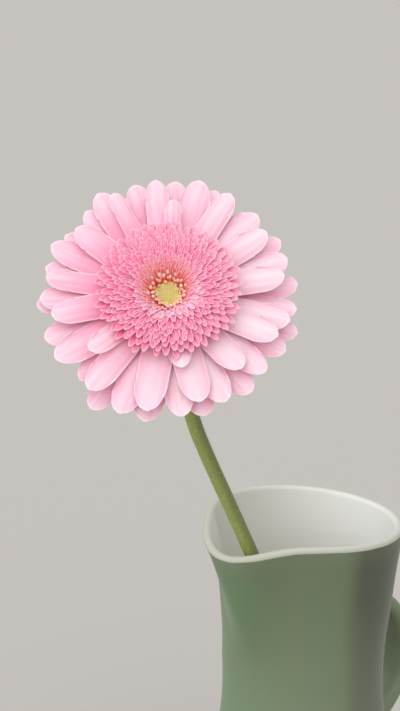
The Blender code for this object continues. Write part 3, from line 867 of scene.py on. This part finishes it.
class JugSettings(bpy.types.PropertyGroup):
    glaze: color_setting("Glaze", "Sage-green glaze where it lies evenly", "717E65")
    glaze_deep: color_setting("Deep glaze", "Sage-green glaze where it pooled", "6F7D61")
    # painted light and shade: the greener glaze goes on the side that faces the key light, and the
    # browner one on the side away from it
    glaze_lit_side: color_setting("Cool glaze", "Glaze on the jug's greener side", "6C8964")
    glaze_shaded_side: color_setting("Warm glaze", "Glaze on the jug's browner side", "565D4C")
    # paler green where the glaze is thin below the lip, and painted light down the belly
    glaze_thin_and_lit: color_setting("Thin glaze", "Green glaze where it lies thin", "8E9A82")
    inner_glaze: color_setting("Inner glaze", "White glaze inside and on the lip", "F3F4F1")
    # painted shade: the white glaze inside is painted darker towards the spout
    inner_shaded: color_setting("Thin inner glaze", "White glaze inside near the spout", "CCCBBF")
    lip_glaze: color_setting("Lip glaze", "White glaze where it thins over the lip", "C2C4B6")
    clay: color_setting("Clay", "Bare clay of the foot ring", "C9B79C")
    rim_band: bpy.props.FloatProperty(
        name="Lip band", description="How far the white glaze runs down outside the lip",
        default=1.6 * MM, min=0, subtype="DISTANCE", unit="LENGTH")
    roughness: bpy.props.FloatProperty(
        name="Roughness", description="Roughness of the glaze", default=0.36, min=0, max=1,
        subtype="FACTOR")


class FlowerSettings(bpy.types.PropertyGroup):
    ray_root: color_setting("Ray root", "Long petals near the middle", "FFA3C4")
    ray_middle: color_setting("Ray middle", "Long petals half way out", "FBB5CD")
    ray_tip: color_setting("Ray tip", "Long petals at their tips", "FCD8E5")
    # the edge colours are also what the pale mark's painted light fades the petals towards
    ray_edge: color_setting("Ray edge", "The very edge of the long petals", "FDE6ED")
    trans_root: color_setting("Short petal root", "Short petals low down", "F83E7C")
    trans_middle: color_setting("Short petal", "Short petals half way up", "FF6A9E")
    trans_tip: color_setting("Short petal tip", "Short petals at their tips", "FF92BA")
    trans_edge: color_setting("Short petal edge", "The very edge of the short petals", "FFCFDF")
    disc: color_setting("Disc tube", "Tubes of the disc", "FF7644")
    disc_tip: color_setting("Disc knob", "Knobs of the disc's tubes", "F9D2CC")
    bud: color_setting("Bud", "Closed buds in the middle", "DFD47C")
    bud_tip: color_setting("Bud tip", "Tips of the closed buds", "ECE39A")
    softness: bpy.props.FloatProperty(
        name="Softness", description="Share of light that scatters inside the petals",
        default=0.7, min=0, max=1, subtype="FACTOR")
    petal_thickness: bpy.props.FloatProperty(
        name="Petal thickness", description="Thickness of the long petals",
        default=0.32 * MM, min=0, subtype="DISTANCE", unit="LENGTH")
    trans_count: bpy.props.IntProperty(
        name="Short petals", description="How many short petals there are", default=440, min=20)
    disc_count: bpy.props.IntProperty(
        name="Disc tubes", description="How many open tubes the disc has", default=60, min=3)
    bud_count: bpy.props.IntProperty(
        name="Buds", description="How many closed buds the disc has", default=190, min=3)


class StalkSettings(bpy.types.PropertyGroup):
    stem: color_setting("Stalk", "Stalk", "A0AC62")
    stem_deep: color_setting("Stalk streaks", "Darker streaks of the stalk", "8B9A50")
    stem_light: color_setting("Stalk neck", "Stalk just under the head", "A6B16A")
    stem_foot: color_setting("Stalk foot", "The stalk's end inside the jug", "8C7D55")
    # painted shade: this colour is laid on the flank of the stalk away from the key light
    stem_shading: color_setting("Stalk flush", "The stalk's flushed flank", "6E6E45")
    bract: color_setting("Bract", "Small leaves under the head", "6F8A4A")
    bract_tip: color_setting("Bract tip", "Tips of the small leaves", "8C5B4B")
    hair: color_setting("Hair", "Short hairs of the stalk", "E4E8D2")
    hair_count: bpy.props.IntProperty(
        name="Hairs", description="How many hairs the stalk has", default=2600, min=0)
    hair_length: bpy.props.FloatProperty(
        name="Hair length", description="Mean length of the stalk's hairs", default=0.7 * MM,
        min=0, subtype="DISTANCE", unit="LENGTH")


class StageSettings(bpy.types.PropertyGroup):
    floor: color_setting("Floor", "Plain floor", "BEBAB5")
    backdrop: color_setting("Backdrop", "What is seen beyond the floor", "BEBAB5")
    key: bpy.props.FloatProperty(
        name="Key light", description="Strength of the soft light from above the spout",
        default=2.05, min=0)
    fill: bpy.props.FloatProperty(
        name="Fill light", description="Strength of the even light all round", default=0.6,
        min=0)


# ---------------------------------------------------------------- operators

class GERBERA_OT_jug(bpy.types.Operator):
    """Build the jug's body with its spout, lip and foot ring, and its ear handle"""
    bl_idname = "gerbera.jug"
    bl_label = "Jug"

    def execute(self, context):
        glaze = stoneware_glaze(context.scene.gerbera_jug)
        points, depth = jug_shell()
        add_shells("jug_body", points, {"below_lip": depth}, glaze, ["jug"])
        add_shells("jug_handle", handle_shell(), {"below_lip": HANDLE_DEPTH}, glaze,
                   ["jug"])
        return {"FINISHED"}


class GERBERA_OT_stalk(bpy.types.Operator):
    """Build the ribbed stalk with its short hairs"""
    bl_idname = "gerbera.stalk"
    bl_label = "Stalk"

    def execute(self, context):
        settings = context.scene.gerbera_stalk
        points, along, shaded = stem_tube()
        add_shells("stalk", points, {"along": along, "shaded": shaded}, stalk_skin(settings),
                   ["stem"])
        spikes = stalk_hairs(points[0], settings.hair_count, settings.hair_length / MM)
        skin = two_tone("white_plant_hair", settings.hair, settings.hair, 0.2, 0.8, 900.0,
                        Roughness=0.6, Subsurface_Weight=0.3, Subsurface_Scale=0.5 * MM)
        add_piece("stalk_hairs", spike_mesh("stalk_hairs", spikes), skin)
        return {"FINISHED"}


class GERBERA_OT_receptacle(bpy.types.Operator):
    """Build the green cushion that carries the florets, and the two rows of bracts under it"""
    bl_idname = "gerbera.receptacle"
    bl_label = "Receptacle and bracts"

    def execute(self, context):
        settings = context.scene.gerbera_stalk
        skin = two_tone("downy_green_bract", settings.bract, settings.bract_tip, 0.7, 1.1, 700.0,
                        Roughness=0.65, Subsurface_Weight=0.15, Subsurface_Scale=0.6 * MM,
                        Sheen_Weight=0.3)
        add_shells("receptacle_cushion", revolved(RECEPTACLE_KEYS, 60, 72), {"along": 0.2}, skin,
                   ["receptacle"])
        rng = np.random.default_rng(5)
        for row, (keys, count, width) in BRACT_ROWS.items():
            points, share = bract_sheets(keys, count, width, rng)
            add_sheets("bract_leaves_" + row, points, {"along": share}, BRACT_THICKNESS * MM, skin,
                       ["bracts_" + row])
        return {"FINISHED"}


class GERBERA_OT_ray_florets(bpy.types.Operator):
    """Build the long outer petals, one piece each"""
    bl_idname = "gerbera.ray_florets"
    bl_label = "Long petals"

    def execute(self, context):
        settings = context.scene.gerbera_flower
        skin = petal_finish("pale_pink_ray_petal", settings, "ray", 7, 0.14)
        rng = np.random.default_rng(3)
        for layer, (keys, tip, florets) in TIERS.items():
            for number, floret in enumerate(florets, 1):
                points, marks = ray_sheet(keys, tip, floret, rng)
                place = f"{layer}_{number:02d}"
                add_sheets("ray_petal_" + place, points, marks, settings.petal_thickness, skin,
                           ["ray_floret_" + place])
        return {"FINISHED"}


class GERBERA_OT_trans_florets(bpy.types.Operator):
    """Build the short cupped petals in their four groups of rings"""
    bl_idname = "gerbera.trans_florets"
    bl_label = "Short petals"

    def execute(self, context):
        settings = context.scene.gerbera_flower
        skin = petal_finish("deep_pink_trans_petal", settings, "trans", 3, 0.2)
        rng = np.random.default_rng(8)
        tips, turn, shapes = trans_shapes(settings.trans_count, rng)
        for ring, (low, high) in TRANS_RINGS.items():
            chosen = (tips >= low) & (tips < high)
            points, share, across = cupped_sheets(
                turn[chosen], *(part[chosen] for part in shapes))
            tone = rng.uniform(0, 1, chosen.sum())[:, None, None]
            near, side = (part[chosen][:, None, None] for part in (tips, turn))
            warm, pale_and_lit = trans_marks(near, side, share)
            marks = {"along": share, "across": across, "tone": tone, "warm": warm, "pale_and_lit": pale_and_lit}
            add_sheets("trans_petals_" + ring, points, marks, TRANS_THICKNESS * MM, skin,
                       ["trans_florets_" + ring])
        return {"FINISHED"}


class GERBERA_OT_disc(bpy.types.Operator):
    """Build the disc's open tubes and its cushion of closed buds"""
    bl_idname = "gerbera.disc"
    bl_label = "Disc"

    def execute(self, context):
        settings = context.scene.gerbera_flower
        rng = np.random.default_rng(2)
        skin = two_tone("orange_disc_tube", settings.disc, settings.disc_tip, 0.74, 0.9, 800.0,
                        Roughness=0.45, Subsurface_Weight=0.3, Subsurface_Scale=0.6 * MM)
        points, along = disc_tubes(settings.disc_count, rng)
        add_shells("disc_tubes", points, {"along": along}, skin, ["disc_florets"])
        skin = two_tone("yellow_green_bud", settings.bud, settings.bud_tip, 0.3, 0.9, 900.0,
                        Roughness=0.55, Subsurface_Weight=0.3, Subsurface_Scale=0.6 * MM)
        points, along = bud_knobs(settings.bud_count)
        add_shells("bud_knobs", points, {"along": along}, skin, ["bud_disc"])
        add_shells("bud_dome", bud_dome(), {"along": 0.0}, skin, ["bud_disc"])
        return {"FINISHED"}


class GERBERA_OT_stage(bpy.types.Operator):
    """Make the floor, the soft lights and the camera"""
    bl_idname = "gerbera.stage"
    bl_label = "Stage"

    def execute(self, context):
        settings = context.scene.gerbera_stage
        turn = full_turn(96)
        rim = FLOOR_RADIUS * np.stack([np.cos(turn), np.sin(turn), turn * 0], axis=-1)
        mesh = bpy.data.meshes.new("floor")
        mesh.from_pydata(rim.tolist(), [], [list(range(len(rim)))])
        paint, _ = new_finish("matt_floor_paint", Base_Color=settings.floor, Roughness=0.9,
                              IOR=1.3)
        mesh.materials.append(paint)
        floor = linked("floor", mesh)

        # the room's light is even and white; what shows of the room is a plain backdrop
        world = bpy.data.worlds.new("even_room")
        world.use_nodes = True
        tree = world.node_tree
        tree.nodes.clear()
        light, backdrop = (
            node(tree, "ShaderNodeBackground", {"Color": color, "Strength": strength})
            for color, strength in (((1, 1, 1, 1), settings.fill), (settings.backdrop, 1.0)))
        rays = node(tree, "ShaderNodeLightPath").outputs
        seen = rays["Is Camera Ray"]
        for kind in ("Is Glossy Ray", "Is Transmission Ray"):
            seen = node(tree, "ShaderNodeMath", {0: seen, 1: rays[kind]}, operation="MAXIMUM")
        mixed = node(tree, "ShaderNodeMixShader", {0: seen, 1: light, 2: backdrop})
        node(tree, "ShaderNodeOutputWorld", {"Surface": mixed})
        context.scene.world = world

        lamp = bpy.data.lights.new("soft_key", "SUN")
        lamp.energy = settings.key
        lamp.angle = KEY_ANGLE
        key = linked("soft_key", lamp)
        key.rotation_mode = "QUATERNION"
        key.rotation_quaternion = Vector(KEY_FROM).to_track_quat("Z", "Y")

        data = bpy.data.cameras.new("camera")
        data.lens = CAMERA_LENS
        data.sensor_width = CAMERA_SENSOR
        data.clip_end = 100
        camera = linked("camera", data)
        camera.location = Vector(CAMERA_PLACE) * MM
        camera.rotation_mode = "QUATERNION"
        camera.rotation_quaternion = Vector(CAMERA_LOOK).to_track_quat("-Z", "Y")
        context.scene.camera = camera
        context.scene.view_settings.view_transform = "Standard"
        return {"FINISHED"}


class GERBERA_PT_panel(bpy.types.Panel):
    bl_idname = "GERBERA_PT_panel"
    bl_label = "Gerbera in a milk jug"
    bl_space_type = "VIEW_3D"
    bl_region_type = "UI"
    bl_category = "Gerbera"

    def draw(self, context):
        for operator in OPERATORS:
            self.layout.operator(operator.bl_idname)
        for group in SETTINGS:
            box = self.layout.box()
            box.label(text=group.replace("gerbera_", "").title())
            settings = getattr(context.scene, group)
            for key in settings.__annotations__:
                box.prop(settings, key)


SETTINGS = {"gerbera_jug": JugSettings, "gerbera_stalk": StalkSettings,
            "gerbera_flower": FlowerSettings, "gerbera_stage": StageSettings}
OPERATORS = (GERBERA_OT_stage, GERBERA_OT_jug, GERBERA_OT_stalk, GERBERA_OT_receptacle,
             GERBERA_OT_ray_florets, GERBERA_OT_trans_florets, GERBERA_OT_disc)


def register():
    for kind in (*SETTINGS.values(), *OPERATORS, GERBERA_PT_panel):
        bpy.utils.register_class(kind)
    for group, kind in SETTINGS.items():
        setattr(bpy.types.Scene, group, bpy.props.PointerProperty(type=kind))


def unregister():
    for group in SETTINGS:
        delattr(bpy.types.Scene, group)
    for kind in (GERBERA_PT_panel, *OPERATORS, *SETTINGS.values()):
        bpy.utils.unregister_class(kind)


def main():
    register()
    bpy.ops.gerbera.stage()
    bpy.ops.gerbera.jug()
    bpy.ops.gerbera.stalk()
    bpy.ops.gerbera.receptacle()
    bpy.ops.gerbera.ray_florets()
    bpy.ops.gerbera.trans_florets()
    bpy.ops.gerbera.disc()


if __name__ == "__main__":
    main()
